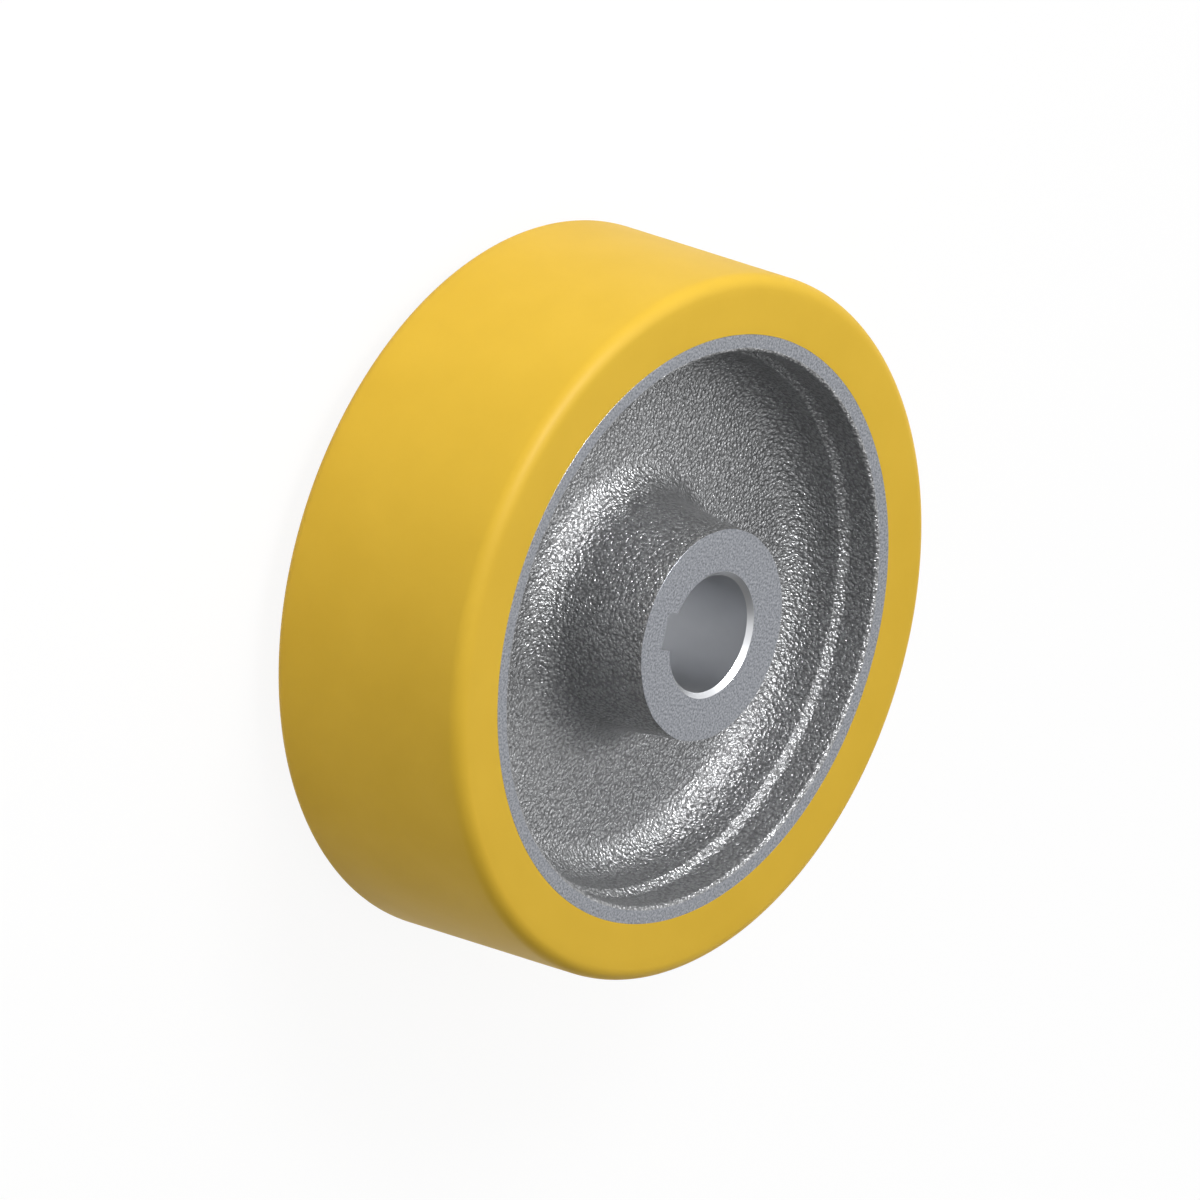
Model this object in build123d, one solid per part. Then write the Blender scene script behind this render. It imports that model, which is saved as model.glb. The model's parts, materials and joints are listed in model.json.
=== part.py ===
from build123d import *
from math import radians, tan
import os

# Drive wheel: a cast centre with a keyed bore, and a tread moulded onto its rim.
# The bore runs along Z and the origin is the middle of the bore, halfway along the hub.
# +X points through the middle of the keyway. Both sides of the wheel are alike.
# Sizes are in millimetres, and angles in degrees.

# Tread
wheel_diameter = 150.0
tread_width = 50.0
tread_thickness = 12.5
tread_edge_radius = 3.0

# Bore and keyway
bore_diameter = 25.0
bore_chamfer = 1.0
keyway_width = 8.0
keyway_depth = 3.3

# Hub and web
hub_length = 60.0
hub_wall = 10.0
web_thickness = 10.0
casting_draft = 6.0
hub_fillet = 8.0
rim_fillet = 8.0

# Rim, from its mouth down to the web
rim_thickness = 3.7
mouth_chamfer = 0.75
mouth_draft = 1.0
step_start = 7.4
step_height = 1.5

# The most that a fillet takes up of the half web, or of the wall, that it runs into
largest_share = 0.9

# How far a cutting body runs past what it cuts
cut_overrun = 1.0

# Radii and heights that follow from the sizes above
bore_radius = bore_diameter / 2
keyway_floor = bore_radius + keyway_depth
hub_radius = bore_radius + hub_wall
rim_radius = wheel_diameter / 2 - tread_thickness
hub_end = hub_length / 2
rim_face = tread_width / 2
web_face = web_thickness / 2


def lean(depth, draft):
    """How far a wall with that draft leans over while it goes down by a depth."""
    return depth * tan(radians(draft))


def centre_corners():
    """Corners of the upper half of the casting's section, each with its radius of rounding.

    They run from the bore's wall over the hub's end, down to the web and up the rim,
    where a ledge at 45 degrees makes the step."""
    mouth_radius = rim_radius - rim_thickness
    step_top = rim_face - step_start
    step_bottom = step_top - step_height
    step_outer = mouth_radius - lean(step_start - mouth_chamfer, mouth_draft)
    step_inner = step_outer - step_height

    hub_foot = hub_radius + lean(hub_end - web_face, casting_draft)
    rim_foot = step_inner - lean(step_bottom - web_face, casting_draft)

    # What a fillet of radius 1 takes up of the web, and of the drafted wall that meets it there
    run = tan(radians(90 - casting_draft) / 2)
    web_room = largest_share * (rim_foot - hub_foot) / 2 / run
    wall_room = largest_share * (step_bottom - web_face) / run

    return [
        ((bore_radius, hub_end - bore_chamfer), 0),
        ((bore_radius + bore_chamfer, hub_end), 0),
        ((hub_radius, hub_end), 0),
        ((hub_foot, web_face), min(hub_fillet, web_room)),
        ((rim_foot, web_face), min(rim_fillet, web_room, wall_room)),
        ((step_inner, step_bottom), 0),
        ((step_outer, step_top), 0),
        ((mouth_radius, rim_face - mouth_chamfer), 0),
        ((mouth_radius + mouth_chamfer, rim_face), 0),
        ((rim_radius, rim_face), 0),
    ]


def both_sides(corners):
    """The corners of a whole section: the upper half, then the same half seen in a mirror."""
    mirrored = [((radius, -height), rounding) for (radius, height), rounding in reversed(corners)]
    return corners + mirrored


def turned(corners):
    """The solid that a section makes when it is turned about Z."""
    points = [point for point, rounding in corners]
    roundings = [rounding for point, rounding in corners]
    with BuildPart() as body:
        with BuildSketch(Plane.XZ):
            with BuildLine():
                FilletPolyline(*points, radius=roundings, close=True)
            make_face()
        revolve(axis=Axis.Z)
    return body.part


def keyway_slot():
    """The slot for the key, from the axis out to the keyway's floor, along the whole bore."""
    with BuildPart() as slot:
        with BuildSketch():
            Rectangle(keyway_floor, keyway_width, align=(Align.MIN, Align.CENTER))
        extrude(amount=hub_end + cut_overrun, both=True)
    return slot.part


def wheel_centre():
    """Rim, web and hub in one casting, bored, chamfered and keyed."""
    return turned(both_sides(centre_corners())) - keyway_slot()


def tread():
    """The band around the rim, as wide as the rim, with both its outer edges rounded."""
    corners = [
        ((rim_radius, rim_face), 0),
        ((wheel_diameter / 2, rim_face), tread_edge_radius),
    ]
    return turned(both_sides(corners))


os.makedirs("parts", exist_ok=True)
export_step(wheel_centre(), "parts/wheel_centre.step")
export_step(tread(), "parts/tread.step")
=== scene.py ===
import bpy
import json
from collections import namedtuple
from math import asin, ceil, cos, pi, radians, sin, sqrt, tan
from mathutils import Matrix, Vector, noise


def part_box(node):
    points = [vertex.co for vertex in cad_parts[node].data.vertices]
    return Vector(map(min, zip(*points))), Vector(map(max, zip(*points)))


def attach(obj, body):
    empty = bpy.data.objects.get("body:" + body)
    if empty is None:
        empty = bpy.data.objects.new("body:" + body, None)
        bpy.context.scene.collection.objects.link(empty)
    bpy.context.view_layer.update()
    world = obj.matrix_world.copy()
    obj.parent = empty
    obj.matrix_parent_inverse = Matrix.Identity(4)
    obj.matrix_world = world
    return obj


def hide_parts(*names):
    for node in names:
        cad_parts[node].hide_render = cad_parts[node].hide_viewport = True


# Drive wheel: a cast centre with a keyed bore, and a moulded tread on its rim.
# The wheel lies on its lower hub end, with its bore along Z and its keyway towards +X.
# Lengths are in metres, and angles in degrees.

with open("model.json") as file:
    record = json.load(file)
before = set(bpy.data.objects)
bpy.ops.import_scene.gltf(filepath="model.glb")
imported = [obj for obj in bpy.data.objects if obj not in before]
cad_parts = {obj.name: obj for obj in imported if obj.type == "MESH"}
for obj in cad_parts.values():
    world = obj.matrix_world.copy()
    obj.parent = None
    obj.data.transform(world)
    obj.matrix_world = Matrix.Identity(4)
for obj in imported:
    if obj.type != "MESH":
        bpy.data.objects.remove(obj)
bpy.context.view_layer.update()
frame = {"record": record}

MM = 0.001

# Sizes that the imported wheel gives
mounts = {mount["name"]: mount for mount in frame["record"]["mounts"]}
wheel_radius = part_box("tread")[1][0]
side_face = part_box("tread")[1][2]
rim_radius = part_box("wheel_centre")[1][0]
hub_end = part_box("wheel_centre")[1][2]
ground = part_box("wheel_centre")[0][2]
bore_radius = mounts["bore"]["dims"]["r_mm"] * MM
keyway_floor = mounts["keyway"]["pos_m"][0]

# Keyed bore
keyway_width = 8.0 * MM
keyway_corner = 0.25 * MM
bore_chamfer = 1.0 * MM

# Casting, from the hub over the web to the rim's mouth
hub_wall = 10.0 * MM
web_thickness = 10.0 * MM
casting_draft = 6.0
hub_fillet = 8.0 * MM
rim_fillet = 8.0 * MM
mouth_draft = 1.0
step_start = 7.4 * MM
step_height = 1.5 * MM
step_rounding = 1.6 * MM
step_lip = 0.3 * MM
rim_thickness = 3.7 * MM
mouth_rounding = 0.85 * MM
turned_edge = 0.08 * MM

# Tread
tread_edge_radius = 3.0 * MM
seam_rounding = 0.06 * MM

# Mesh: columns round the wheel, those of them that belong to half the keyway, and steps along a section
columns = 400
keyway_floor_columns = 8
keyway_corner_columns = 4
keyway_wall_columns = 12
arc_step = 12.0
longest_step = {"skin": 1.0 * MM, "turned": 3.0 * MM, "bored": 6.0 * MM, "moulded": 3.0 * MM}
sharp_angle = 30.0

# How far the surfaces rise and fall, and over what length: the cast skin, its cut edges and the tread
skin_swell = 0.03 * MM
skin_swell_length = 2.4 * MM
skin_drift = 0.06 * MM
skin_drift_length = 11.0 * MM
cut_waver = 0.14 * MM
cut_waver_length = 4.0 * MM
cut_fade = 1.5 * MM
tread_sink = 0.05 * MM
tread_sink_length = 24.0 * MM

# A corner of a section: its rounding, and the finish of that rounding and of the run before it
Corner = namedtuple("Corner", "radius height rounding finish")


# Sections

def rounded_corner(corner, before, after, rounding, longest):
    """Points of the arc that rounds a corner, from where it leaves one run to where it joins the next."""
    arriving = (before - corner).normalized()
    leaving = (after - corner).normalized()
    half = asin((arriving - leaving).length / 2)
    middle = corner + (arriving + leaving).normalized() * rounding / sin(half)
    first = corner + arriving * rounding / tan(half) - middle
    last = corner + leaving * rounding / tan(half) - middle
    turn = -first.angle_signed(last)
    steps = max(2, ceil(abs(turn) / radians(arc_step)), ceil(abs(turn) * rounding / longest))
    return [middle + Matrix.Rotation(turn * step / steps, 2) @ first for step in range(steps + 1)]


def half_section(corners):
    """Points (radius, height) along the corners, and the finish of each strip between two points."""
    places = [Vector((corner.radius, corner.height)) for corner in corners]
    points = [places[0]]
    finishes = []
    for index, corner in enumerate(corners[1:], start=1):
        longest = longest_step[corner.finish]
        ahead = [places[index]]
        if corner.rounding:
            neighbours = places[index - 1], places[index + 1]
            ahead = rounded_corner(places[index], *neighbours, corner.rounding, longest)
        steps = ceil((ahead[0] - points[-1]).length / longest)
        start = points[-1]
        points += [start.lerp(ahead[0], step / steps) for step in range(1, steps)] + ahead
        finishes += [corner.finish] * (steps - 1 + len(ahead))
    return points, finishes


def whole_section(corners):
    """A closed section: the upper half, then the same half seen in a mirror."""
    points, finishes = half_section(corners)
    mirrored = [Vector((point.x, -point.y)) for point in reversed(points[1:-1])]
    return points + mirrored, finishes + finishes[::-1]


def centre_corners():
    """The upper half of the casting's section, from the middle of the bore out to the middle of the rim."""
    draft = tan(radians(casting_draft))
    web_face = web_thickness / 2
    chamfer_radius = bore_radius + bore_chamfer
    hub_radius = bore_radius + hub_wall
    hub_foot = hub_radius + (hub_end - web_face) * draft
    mouth_radius = rim_radius - rim_thickness
    step_top = side_face - step_start
    step_bottom = step_top - step_height
    step_outer = mouth_radius - step_start * tan(radians(mouth_draft))
    step_inner = step_outer - step_height
    rim_foot = step_inner - (step_bottom - web_face) * draft
    return [
        Corner(bore_radius, 0, 0, "bored"),
        Corner(bore_radius, hub_end - bore_chamfer, 0, "bored"),
        Corner(chamfer_radius, hub_end, 0, "bored"),
        Corner(hub_radius, hub_end, turned_edge, "turned"),
        Corner(hub_foot, web_face, hub_fillet, "skin"),
        Corner(rim_foot, web_face, rim_fillet, "skin"),
        Corner(step_inner, step_bottom, step_lip, "skin"),
        Corner(step_outer, step_top, step_rounding, "skin"),
        Corner(mouth_radius, side_face, mouth_rounding, "skin"),
        Corner(rim_radius, side_face, seam_rounding, "turned"),
        Corner(rim_radius, 0, 0, "turned"),
    ]


def tread_corners():
    """The upper half of the tread's section, from the middle of the rim out to the middle of the tread."""
    return [
        Corner(rim_radius, 0, 0, "moulded"),
        Corner(rim_radius, side_face, seam_rounding, "moulded"),
        Corner(wheel_radius, side_face, tread_edge_radius, "moulded"),
        Corner(wheel_radius, 0, 0, "moulded"),
    ]


# Loops round the wheel, one point for each column, starting in the middle of the keyway

def round_loop(radius):
    """A circle of points round the axis."""
    turns = [2 * pi * column / columns for column in range(columns)]
    return [Vector((radius * cos(turn), radius * sin(turn))) for turn in turns]


def keyed_loop(radius):
    """A circle of points round the axis, broken by the keyway."""
    edge = keyway_width / 2
    corner = Vector((keyway_floor - keyway_corner, edge - keyway_corner))
    floor = [
        Vector((keyway_floor, corner.y * step / keyway_floor_columns))
        for step in range(keyway_floor_columns)
    ]
    turns = [pi / 2 * step / keyway_corner_columns for step in range(keyway_corner_columns)]
    rounding = [corner + keyway_corner * Vector((cos(turn), sin(turn))) for turn in turns]
    wall_foot = Vector((corner.x, edge))
    wall_top = Vector((sqrt(radius**2 - edge**2), edge))
    wall = [
        wall_foot.lerp(wall_top, step / keyway_wall_columns)
        for step in range(keyway_wall_columns + 1)
    ]
    half_keyway = floor + rounding + wall
    gap = asin(edge / radius)
    steps = columns - 2 * (len(half_keyway) - 1)
    turns = [gap + (2 * pi - 2 * gap) * step / steps for step in range(1, steps)]
    arc = [Vector((radius * cos(turn), radius * sin(turn))) for turn in turns]
    mirrored = [Vector((point.x, -point.y)) for point in reversed(half_keyway[1:])]
    return half_keyway + arc + mirrored


def centre_loop(radius):
    """The casting's loop at a radius: keyed up to the chamfer's edge, round from the hub's edge on.

    The flat end between the two edges passes from the one to the other."""
    chamfer_radius = bore_radius + bore_chamfer
    hub_radius = bore_radius + hub_wall - turned_edge
    share = (radius - chamfer_radius) / (hub_radius - chamfer_radius)
    if share >= 1:
        return round_loop(radius)
    if share <= 0:
        return keyed_loop(radius)
    return [
        inner.lerp(outer, share)
        for inner, outer in zip(keyed_loop(chamfer_radius), round_loop(hub_radius))
    ]


# Unevenness

def swell(point, depth, length, seed):
    """A smooth rise and fall over a surface, of that depth and wave length."""
    return depth * noise.noise((point + Vector((seed, 0, 0))) / length)


def skin_offset(point, radius, height, normal, finish):
    """How far the sand mould left the skin off its section: (outwards, upwards).

    The edges where a turned face cuts the skin keep their height, and only waver."""
    from_hub = Vector((radius - bore_radius - hub_wall, abs(height) - hub_end)).length
    mouth_edge = rim_radius - rim_thickness + mouth_rounding
    from_mouth = Vector((radius - mouth_edge, abs(height) - side_face)).length
    clear = min(1, min(from_hub, from_mouth) / cut_fade)
    outward = Vector((1, 0)) if from_hub < from_mouth else Vector((-1, 0))
    skin = swell(point, skin_swell, skin_swell_length, 1) + swell(point, skin_drift, skin_drift_length, 2)
    waver = swell(point, cut_waver, cut_waver_length, 3)
    moved = outward * ((skin + waver) * (1 - clear))
    if finish == "skin":
        moved += normal * (skin * clear)
    return moved


def tread_offset(point, radius, height, normal, finish):
    """How far the moulded tread has sunk below its section: not at all where it is bonded to the rim."""
    free = min(1, (radius - rim_radius) / tread_edge_radius)
    return normal * (swell(point, tread_sink / 2, tread_sink_length, 4) - tread_sink / 2) * free


# Pieces

def turned_piece(name, corners, loop, offset, surfaces):
    """A closed body of revolution, with the material that surfaces gives for each finish of its section."""
    points, finishes = whole_section(corners)
    rows = len(points)
    vertices = []
    for row, point in enumerate(points):
        along = points[(row + 1) % rows] - points[row - 1]
        normal = Vector((-along.y, along.x)).normalized()
        for place in loop(point.x):
            vertex = place.to_3d() + Vector((0, 0, point.y))
            moved = offset(vertex, point.x, point.y, normal, finishes[row])
            vertices.append(vertex + (place.normalized() * moved.x).to_3d() + Vector((0, 0, moved.y)))
    corner_of = [[row * columns + column for column in range(columns)] for row in range(rows)]
    faces = [
        (
            corner_of[row][column],
            corner_of[(row + 1) % rows][column],
            corner_of[(row + 1) % rows][(column + 1) % columns],
            corner_of[row][(column + 1) % columns],
        )
        for row in range(rows)
        for column in range(columns)
    ]
    mesh = bpy.data.meshes.new(name)
    mesh.from_pydata(vertices, [], faces)
    order = list(surfaces)
    for surface in surfaces.values():
        mesh.materials.append(surface)
    indices = [order.index(finish) for finish in finishes for column in range(columns)]
    mesh.polygons.foreach_set("material_index", indices)
    mesh.shade_smooth()
    mesh.set_sharp_from_angle(angle=radians(sharp_angle))
    piece = bpy.data.objects.new(name, mesh)
    bpy.context.scene.collection.objects.link(piece)
    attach(piece, "root")
    return piece


# Shader nodes

def add_node(tree, kind, inputs=None, **settings):
    """A shader node with its settings, and a value or a link for each input that is named."""
    node = tree.nodes.new(kind)
    for name, value in settings.items():
        setattr(node, name, value)
    for name, value in (inputs or {}).items():
        if isinstance(value, bpy.types.NodeSocket):
            tree.links.new(value, node.inputs[name])
        else:
            node.inputs[name].default_value = value
    return node


def math_node(tree, operation, *values):
    """The result of one sum on values or sockets."""
    return add_node(tree, "ShaderNodeMath", dict(enumerate(values)), operation=operation).outputs[0]


def vector_node(tree, operation, inputs):
    """The result of one sum on vectors."""
    return add_node(tree, "ShaderNodeVectorMath", inputs, operation=operation).outputs[0]


def mixed_value(tree, share, first, second):
    """The first value where the share is 0, and the second where it is 1.

    A mix node names its sockets alike for each kind of value, so they go by number."""
    return add_node(tree, "ShaderNodeMix", {0: share, 2: first, 3: second}).outputs[0]


def mixed_colour(tree, share, first, second):
    """The first colour where the share is 0, and the second where it is 1."""
    return add_node(tree, "ShaderNodeMix", {0: share, 6: first, 7: second}, data_type="RGBA").outputs[2]


def new_group(name, inputs, outputs):
    """An empty node group with its inputs, as (name, kind, value), and outputs, as (name, kind)."""
    tree = bpy.data.node_groups.new(name, "ShaderNodeTree")
    for label, kind, value in inputs:
        socket = tree.interface.new_socket(label, in_out="INPUT", socket_type=kind)
        socket.default_value = value
    for label, kind in outputs:
        tree.interface.new_socket(label, in_out="OUTPUT", socket_type=kind)
    return tree, tree.nodes.new("NodeGroupInput").outputs, tree.nodes.new("NodeGroupOutput")


def grain_group():
    """A grain of rounded bumps with creases between them, drawn out of shape by a finer grain."""
    tree, given, out = new_group(
        "surface grain",
        [
            ("Grain Size", "NodeSocketFloat", 0.001),
            ("Twist", "NodeSocketFloat", 0.5),
            ("Roundness", "NodeSocketFloat", 0.5),
        ],
        [("Height", "NodeSocketFloat")],
    )
    times_finer = 1.6
    crease_softness = 0.35
    place = add_node(tree, "ShaderNodeTexCoord").outputs["Object"]
    scale = math_node(tree, "DIVIDE", 1.0, given["Grain Size"])
    cloud = add_node(
        tree,
        "ShaderNodeTexNoise",
        {"Vector": place, "Scale": math_node(tree, "MULTIPLY", scale, times_finer), "Detail": 1.0},
    ).outputs
    stir = vector_node(tree, "SUBTRACT", {0: cloud["Color"], 1: (0.5, 0.5, 0.5)})
    reach = math_node(tree, "MULTIPLY", given["Grain Size"], given["Twist"])
    moved = vector_node(tree, "SCALE", {0: stir, "Scale": reach})
    twisted = vector_node(tree, "ADD", {0: place, 1: moved})
    bumps = add_node(
        tree,
        "ShaderNodeTexVoronoi",
        {"Vector": twisted, "Scale": scale, "Smoothness": crease_softness},
        feature="SMOOTH_F1",
    ).outputs["Distance"]
    rounded = math_node(tree, "SUBTRACT", 1.0, bumps)
    tree.links.new(mixed_value(tree, given["Roundness"], cloud["Fac"], rounded), out.inputs["Height"])
    return tree


def tone_group():
    """A colour that drifts between two others in soft patches."""
    tree, given, out = new_group(
        "uneven tone",
        [
            ("Dark", "NodeSocketColor", (0.1, 0.1, 0.1, 1)),
            ("Light", "NodeSocketColor", (0.2, 0.2, 0.2, 1)),
            ("Patch Size", "NodeSocketFloat", 0.01),
            ("Sharpness", "NodeSocketFloat", 1.0),
        ],
        [("Color", "NodeSocketColor"), ("Mask", "NodeSocketFloat")],
    )
    place = add_node(tree, "ShaderNodeTexCoord").outputs["Object"]
    patches = add_node(
        tree,
        "ShaderNodeTexNoise",
        {
            "Vector": place,
            "Scale": math_node(tree, "DIVIDE", 1.0, given["Patch Size"]),
            "Detail": 3.0,
        },
    ).outputs["Fac"]
    centred = math_node(tree, "SUBTRACT", patches, 0.5)
    stretched = math_node(tree, "MULTIPLY_ADD", centred, given["Sharpness"], 0.5)
    mask = add_node(tree, "ShaderNodeClamp", {"Value": stretched}).outputs[0]
    tree.links.new(mixed_colour(tree, mask, given["Dark"], given["Light"]), out.inputs["Color"])
    tree.links.new(mask, out.inputs["Mask"])
    return tree


def lathe_group():
    """Fine lines that a tool leaves as the wheel turns: rings on its flat faces and hoops on its walls."""
    tree, given, out = new_group(
        "tool lines",
        [
            ("Pitch", "NodeSocketFloat", 0.0005),
            ("Break", "NodeSocketFloat", 0.3),
        ],
        [("Height", "NodeSocketFloat")],
    )
    breaks_in_a_metre = 120.0
    place = add_node(tree, "ShaderNodeTexCoord").outputs["Object"]
    split = add_node(tree, "ShaderNodeSeparateXYZ", {"Vector": place}).outputs
    flat = add_node(tree, "ShaderNodeCombineXYZ", {"X": split["X"], "Y": split["Y"]}).outputs[0]
    radius = add_node(tree, "ShaderNodeVectorMath", {0: flat}, operation="LENGTH").outputs["Value"]
    across = math_node(tree, "ADD", radius, split["Z"])
    lines = add_node(
        tree,
        "ShaderNodeTexNoise",
        {"W": math_node(tree, "DIVIDE", across, given["Pitch"]), "Scale": 1.0, "Detail": 2.0},
        noise_dimensions="1D",
    ).outputs["Fac"]
    breaks = add_node(
        tree,
        "ShaderNodeTexNoise",
        {"Vector": place, "Scale": breaks_in_a_metre, "Detail": 2.0},
    ).outputs["Fac"]
    worn = math_node(tree, "MULTIPLY", breaks, given["Break"])
    tree.links.new(math_node(tree, "SUBTRACT", lines, worn), out.inputs["Height"])
    return tree


def placed(tree, group, inputs):
    """A group's outputs in a material, with the material's own values."""
    return add_node(tree, "ShaderNodeGroup", inputs, node_tree=group).outputs


def between(tree, share, first, last):
    """A value that goes from the first to the last with the share."""
    return math_node(tree, "MULTIPLY_ADD", share, last - first, first)


def with_lines(tree, grain, lines, share):
    """The height of a grain with a share of the tool lines' height on top."""
    return math_node(tree, "MULTIPLY_ADD", lines["Height"], share, grain["Height"])


def new_material(name):
    """A material with nothing but its surface shader."""
    material = bpy.data.materials.new(name)
    material.use_nodes = True
    return material, material.node_tree, material.node_tree.nodes["Principled BSDF"]


def add_relief(tree, shader, height, depth):
    """Bumps on a surface, from a height of 0 to 1 over that depth."""
    bump = add_node(tree, "ShaderNodeBump", {"Height": height, "Strength": 1.0, "Distance": depth})
    tree.links.new(bump.outputs["Normal"], shader.inputs["Normal"])


# Materials

def cast_skin():
    """Iron as it left the sand: wrinkled like orange peel, with painted shade that darkens its creases and
    lightens its bump tops, and with sparks of gloss.
    """
    material, tree, shader = new_material("cast skin")
    tone = placed(
        tree,
        uneven_tone,
        {
            "Dark": (0.36, 0.364, 0.372, 1),
            "Light": (0.40, 0.404, 0.412, 1),
            "Patch Size": 9.0 * MM,
            "Sharpness": 1.6,
        },
    )
    wrinkles = placed(tree, surface_grain, {"Grain Size": 0.75 * MM, "Twist": 0.8, "Roundness": 0.6})
    # Painted shade: the base colour is darker in the creases of the wrinkles and lighter on their tops.
    painted_crease_shade = add_node(
        tree,
        "ShaderNodeMapRange",
        {"Value": wrinkles["Height"], "From Min": 0.4, "From Max": 0.65, "To Min": 0.62, "To Max": 1.1},
    ).outputs[0]
    shaded = vector_node(tree, "SCALE", {0: tone["Color"], "Scale": painted_crease_shade})
    tree.links.new(shaded, shader.inputs["Base Color"])
    tree.links.new(between(tree, tone["Mask"], 0.29, 0.277), shader.inputs["Roughness"])
    shader.inputs["Metallic"].default_value = 0.62
    add_relief(tree, shader, wrinkles["Height"], depth=0.57 * MM)
    return material


def turned_face():
    """A machined face: even bluish grey with a fine grain and the faintest tool lines."""
    material, tree, shader = new_material("turned face")
    tone = placed(
        tree,
        uneven_tone,
        {
            "Dark": (0.15, 0.159, 0.178, 1),
            "Light": (0.40, 0.413, 0.444, 1),
            "Patch Size": 0.5 * MM,
            "Sharpness": 2.4,
        },
    )
    grain = placed(tree, surface_grain, {"Grain Size": 0.4 * MM, "Twist": 0.6, "Roundness": 0.3})
    lines = placed(tree, tool_lines, {"Pitch": 0.35 * MM, "Break": 0.5})
    height = with_lines(tree, grain, lines, share=0.25)
    tree.links.new(tone["Color"], shader.inputs["Base Color"])
    tree.links.new(between(tree, tone["Mask"], 0.36, 0.32), shader.inputs["Roughness"])
    shader.inputs["Metallic"].default_value = 1.0
    add_relief(tree, shader, height, depth=0.03 * MM)
    return material


def bored_wall():
    """The bore's and the keyway's walls: smooth, with fine hoops from the boring bar."""
    material, tree, shader = new_material("bored wall")
    tone = placed(
        tree,
        uneven_tone,
        {
            "Dark": (0.67, 0.68, 0.70, 1),
            "Light": (0.71, 0.72, 0.74, 1),
            "Patch Size": 5.0 * MM,
            "Sharpness": 1.5,
        },
    )
    lines = placed(tree, tool_lines, {"Pitch": 0.25 * MM, "Break": 0.4})
    tree.links.new(tone["Color"], shader.inputs["Base Color"])
    tree.links.new(between(tree, tone["Mask"], 0.36, 0.32), shader.inputs["Roughness"])
    shader.inputs["Metallic"].default_value = 1.0
    add_relief(tree, shader, lines["Height"], depth=0.008 * MM)
    return material


def moulded_polyurethane():
    """The tread: deep yellow, smooth and slightly waxy, with faint hoops where it was turned true."""
    material, tree, shader = new_material("moulded polyurethane")
    tone = placed(
        tree,
        uneven_tone,
        {
            "Dark": (0.87, 0.550, 0.046, 1),
            "Light": (0.93, 0.595, 0.054, 1),
            "Patch Size": 18.0 * MM,
            "Sharpness": 1.6,
        },
    )
    grain = placed(tree, surface_grain, {"Grain Size": 1.6 * MM, "Twist": 0.6, "Roundness": 0.2})
    lines = placed(tree, tool_lines, {"Pitch": 0.6 * MM, "Break": 0.6})
    height = with_lines(tree, grain, lines, share=0.3)
    tree.links.new(tone["Color"], shader.inputs["Base Color"])
    tree.links.new(between(tree, tone["Mask"], 0.52, 0.46), shader.inputs["Roughness"])
    shader.inputs["IOR"].default_value = 1.25
    add_relief(tree, shader, height, depth=0.02 * MM)
    return material


surface_grain = grain_group()
uneven_tone = tone_group()
tool_lines = lathe_group()
turned = turned_face()

centre = turned_piece(
    "wheel_casting",
    centre_corners(),
    centre_loop,
    skin_offset,
    {"bored": bored_wall(), "turned": turned, "skin": cast_skin()},
)
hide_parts("wheel_centre")

band = turned_piece(
    "tread_band",
    tread_corners(),
    round_loop,
    tread_offset,
    {"moulded": moulded_polyurethane()},
)
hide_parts("tread")


# View: the camera's place seen from the wheel, and the side of the wheel that is uppermost in the picture
view_azimuth = 82.2
view_elevation = 36.63
upright_turn = -70.0
view_width = 0.24686
view_distance = 1.0


def level(turn):
    """The level direction that lies that far round from +X."""
    return Vector((cos(radians(turn)), sin(radians(turn)), 0))


towards_camera = level(view_azimuth - 90) * cos(radians(view_elevation))
towards_camera.z = sin(radians(view_elevation))
upright = level(upright_turn)


def aimed(towards, above):
    """The turn that looks back along a direction, with another direction upright."""
    right = above.cross(towards).normalized()
    return Matrix((right, towards.cross(right), towards)).transposed().to_4x4()


def add_camera():
    """A long lens far off, as good as parallel, that takes in the whole wheel."""
    data = bpy.data.cameras.new("camera")
    data.type = "ORTHO"
    data.ortho_scale = view_width
    camera = bpy.data.objects.new("camera", data)
    bpy.context.scene.collection.objects.link(camera)
    stand = Matrix.Translation(towards_camera * view_distance)
    camera.matrix_world = stand @ aimed(towards_camera, upright)
    bpy.context.scene.camera = camera


# Light from all round, and how much more of it there is on the upright side
sky_level = 0.43
sky_lean = 0.64

# White paper under the wheel, and how far it reaches
paper_tone = 0.7
paper_roughness = 0.9
floor_glow = 1.09
floor_shadow = 0.16
floor_reach = 3.0

# Grey screen beside the wheel
screen_tone = 0.18
screen_roughness = 0.9
screen_turn = 85.0
screen_distance = 0.5
screen_width = 1.3
screen_height = 0.75

# Lamps: the side they shine from, their size and distance, their power, and what picks up their light.
# The glint makes the sparks on the cast skin, and the sheen brings out its grain on the web.
# The fill is faint, and lights the side of the wheel that the photograph doesn't show.
Lamp = namedtuple("Lamp", "name towards width height distance power matt gloss")
key_side = Vector((0.30, -0.62, 0.72))
sheen_side = Vector((-0.26, -0.34, 0.90))
fill_side = Vector((-0.94, 0.34, 0.07))
lamps = [
    Lamp("key", key_side, 0.28, 0.18, 0.6, 1.25, matt=True, gloss=True),
    Lamp("glint", key_side, 0.10, 0.07, 0.6, 3.5, matt=False, gloss=True),
    Lamp("sheen", sheen_side, 0.25, 0.25, 0.6, 0.8, matt=False, gloss=True),
    Lamp("fill", fill_side, 0.50, 0.20, 0.9, 2.0, matt=True, gloss=False),
]


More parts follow.
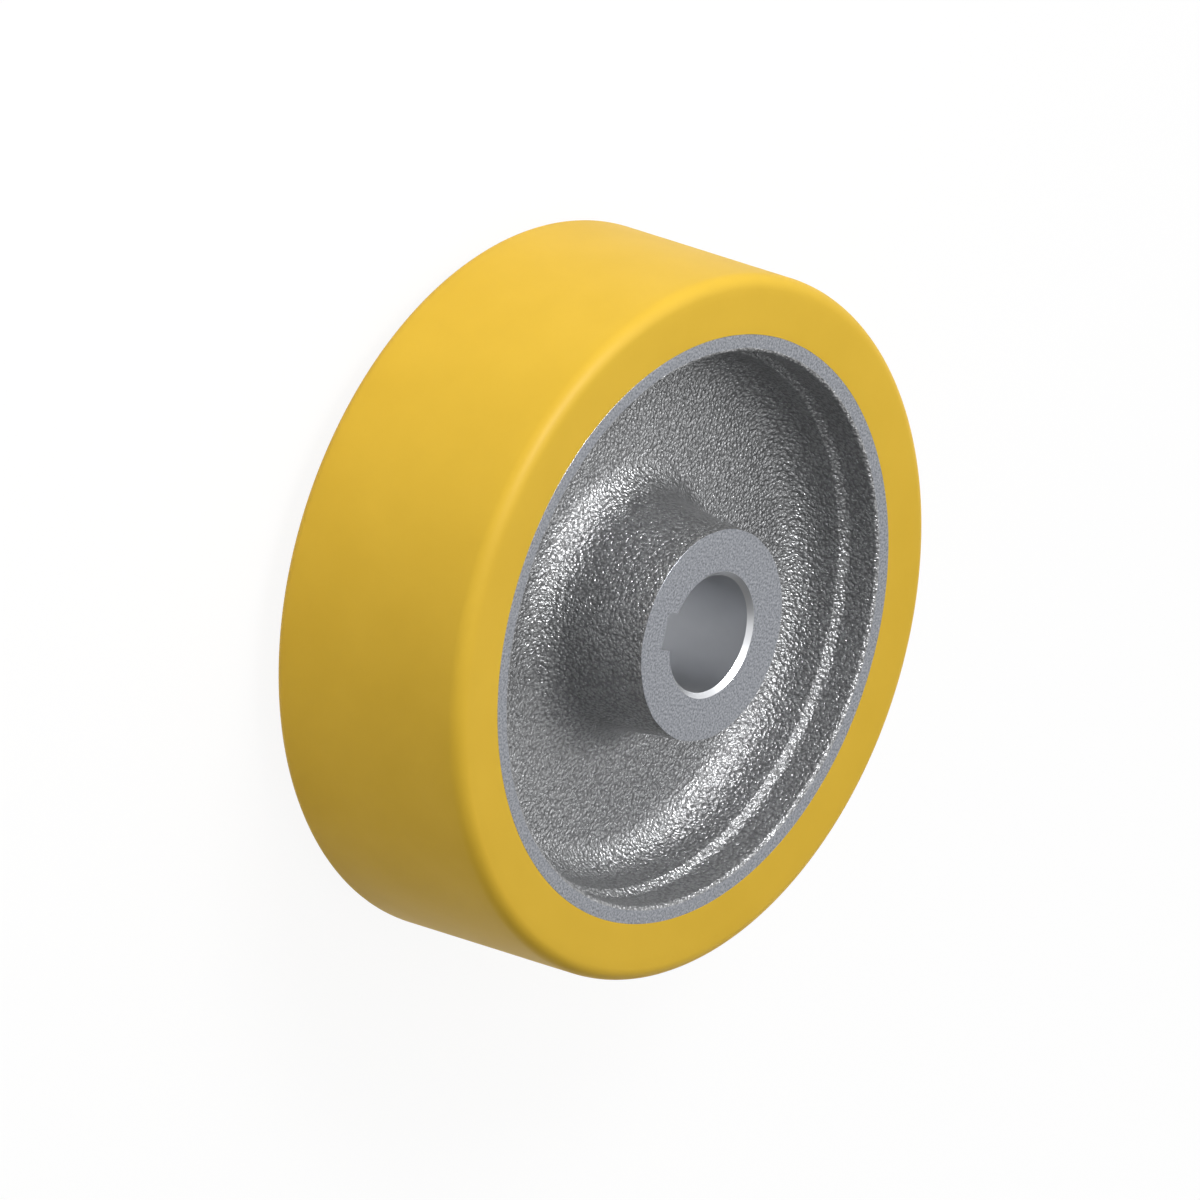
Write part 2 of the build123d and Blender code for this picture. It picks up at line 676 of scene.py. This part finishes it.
def world_light():
    """White where it is seen or mirrored, and as light a gradient that is brighter on the upright side."""
    world = bpy.data.worlds.new("studio")
    world.use_nodes = True
    tree = world.node_tree
    lit = tree.nodes["Background"]
    direction = add_node(tree, "ShaderNodeTexCoord").outputs["Generated"]
    lean = add_node(tree, "ShaderNodeVectorMath", {0: direction, 1: upright}, operation="DOT_PRODUCT")
    strength = math_node(tree, "MULTIPLY_ADD", lean.outputs["Value"], sky_lean, sky_level)
    tree.links.new(math_node(tree, "MAXIMUM", strength, 0.0), lit.inputs["Strength"])
    lit.inputs["Color"].default_value = (1, 1, 1, 1)
    seen = add_node(tree, "ShaderNodeBackground", {"Color": (1, 1, 1, 1), "Strength": 1.0})
    mixed = add_node(tree, "ShaderNodeMixShader", {0: seen_or_mirrored(tree)})
    tree.links.new(lit.outputs[0], mixed.inputs[1])
    tree.links.new(seen.outputs[0], mixed.inputs[2])
    tree.links.new(mixed.outputs[0], tree.nodes["World Output"].inputs["Surface"])
    bpy.context.scene.world = world


def seen_or_mirrored(tree):
    """1 for rays from the camera, off gloss or through glass, and 0 for the light that falls on things."""
    rays = add_node(tree, "ShaderNodeLightPath").outputs
    glossy = math_node(tree, "MAXIMUM", rays["Is Camera Ray"], rays["Is Glossy Ray"])
    return math_node(tree, "MAXIMUM", glossy, rays["Is Transmission Ray"])


def add_lamp(lamp):
    """A soft box that faces the wheel from its side."""
    data = bpy.data.lights.new(lamp.name, "AREA")
    data.shape = "RECTANGLE"
    data.size = lamp.width
    data.size_y = lamp.height
    data.energy = lamp.power
    box = bpy.data.objects.new(lamp.name, data)
    bpy.context.scene.collection.objects.link(box)
    side = lamp.towards.normalized()
    box.matrix_world = Matrix.Translation(side * lamp.distance) @ aimed(side, Vector((0, 0, 1)))
    box.visible_camera = False
    box.visible_diffuse = lamp.matt
    box.visible_glossy = lamp.gloss


def white_floor():
    """White paper, as white as the background, with a part of its light that falls away in shadow."""
    material, tree, shader = new_material("white paper")
    shader.inputs["Base Color"].default_value = (paper_tone, paper_tone, paper_tone, 1)
    shader.inputs["Roughness"].default_value = paper_roughness
    shine = add_node(tree, "ShaderNodeEmission", {"Color": (1, 1, 1, 1), "Strength": floor_glow})
    share = math_node(tree, "MULTIPLY", seen_or_mirrored(tree), 1 - floor_shadow)
    mixed = add_node(tree, "ShaderNodeMixShader", {0: share})
    tree.links.new(shader.outputs[0], mixed.inputs[1])
    tree.links.new(shine.outputs[0], mixed.inputs[2])
    tree.links.new(mixed.outputs[0], tree.nodes["Material Output"].inputs["Surface"])
    return material


def add_floor():
    """A wide sheet under the lower hub end."""
    mesh = bpy.data.meshes.new("floor")
    signs = ((-1, -1), (1, -1), (1, 1), (-1, 1))
    corners = [(floor_reach * x, floor_reach * y, ground) for x, y in signs]
    mesh.from_pydata(corners, [], [(0, 1, 2, 3)])
    mesh.materials.append(white_floor())
    floor = bpy.data.objects.new("floor", mesh)
    bpy.context.scene.collection.objects.link(floor)


def add_screen():
    """A grey screen beside the wheel that no camera sees, for the metal to mirror on its shaded side."""
    material, _, shader = new_material("grey screen")
    shader.inputs["Base Color"].default_value = (screen_tone, screen_tone, screen_tone, 1)
    shader.inputs["Roughness"].default_value = screen_roughness
    across = level(screen_turn + 90) * screen_width / 2
    foot = level(screen_turn) * screen_distance + Vector((0, 0, ground))
    top = foot + Vector((0, 0, screen_height))
    mesh = bpy.data.meshes.new("screen")
    mesh.from_pydata([foot - across, foot + across, top + across, top - across], [], [(0, 1, 2, 3)])
    mesh.materials.append(material)
    screen = bpy.data.objects.new("screen", mesh)
    screen.visible_camera = False
    bpy.context.scene.collection.objects.link(screen)


add_camera()
world_light()
add_floor()
for lamp in lamps:
    add_lamp(lamp)
add_screen()

bpy.context.scene.view_settings.view_transform = "Standard"
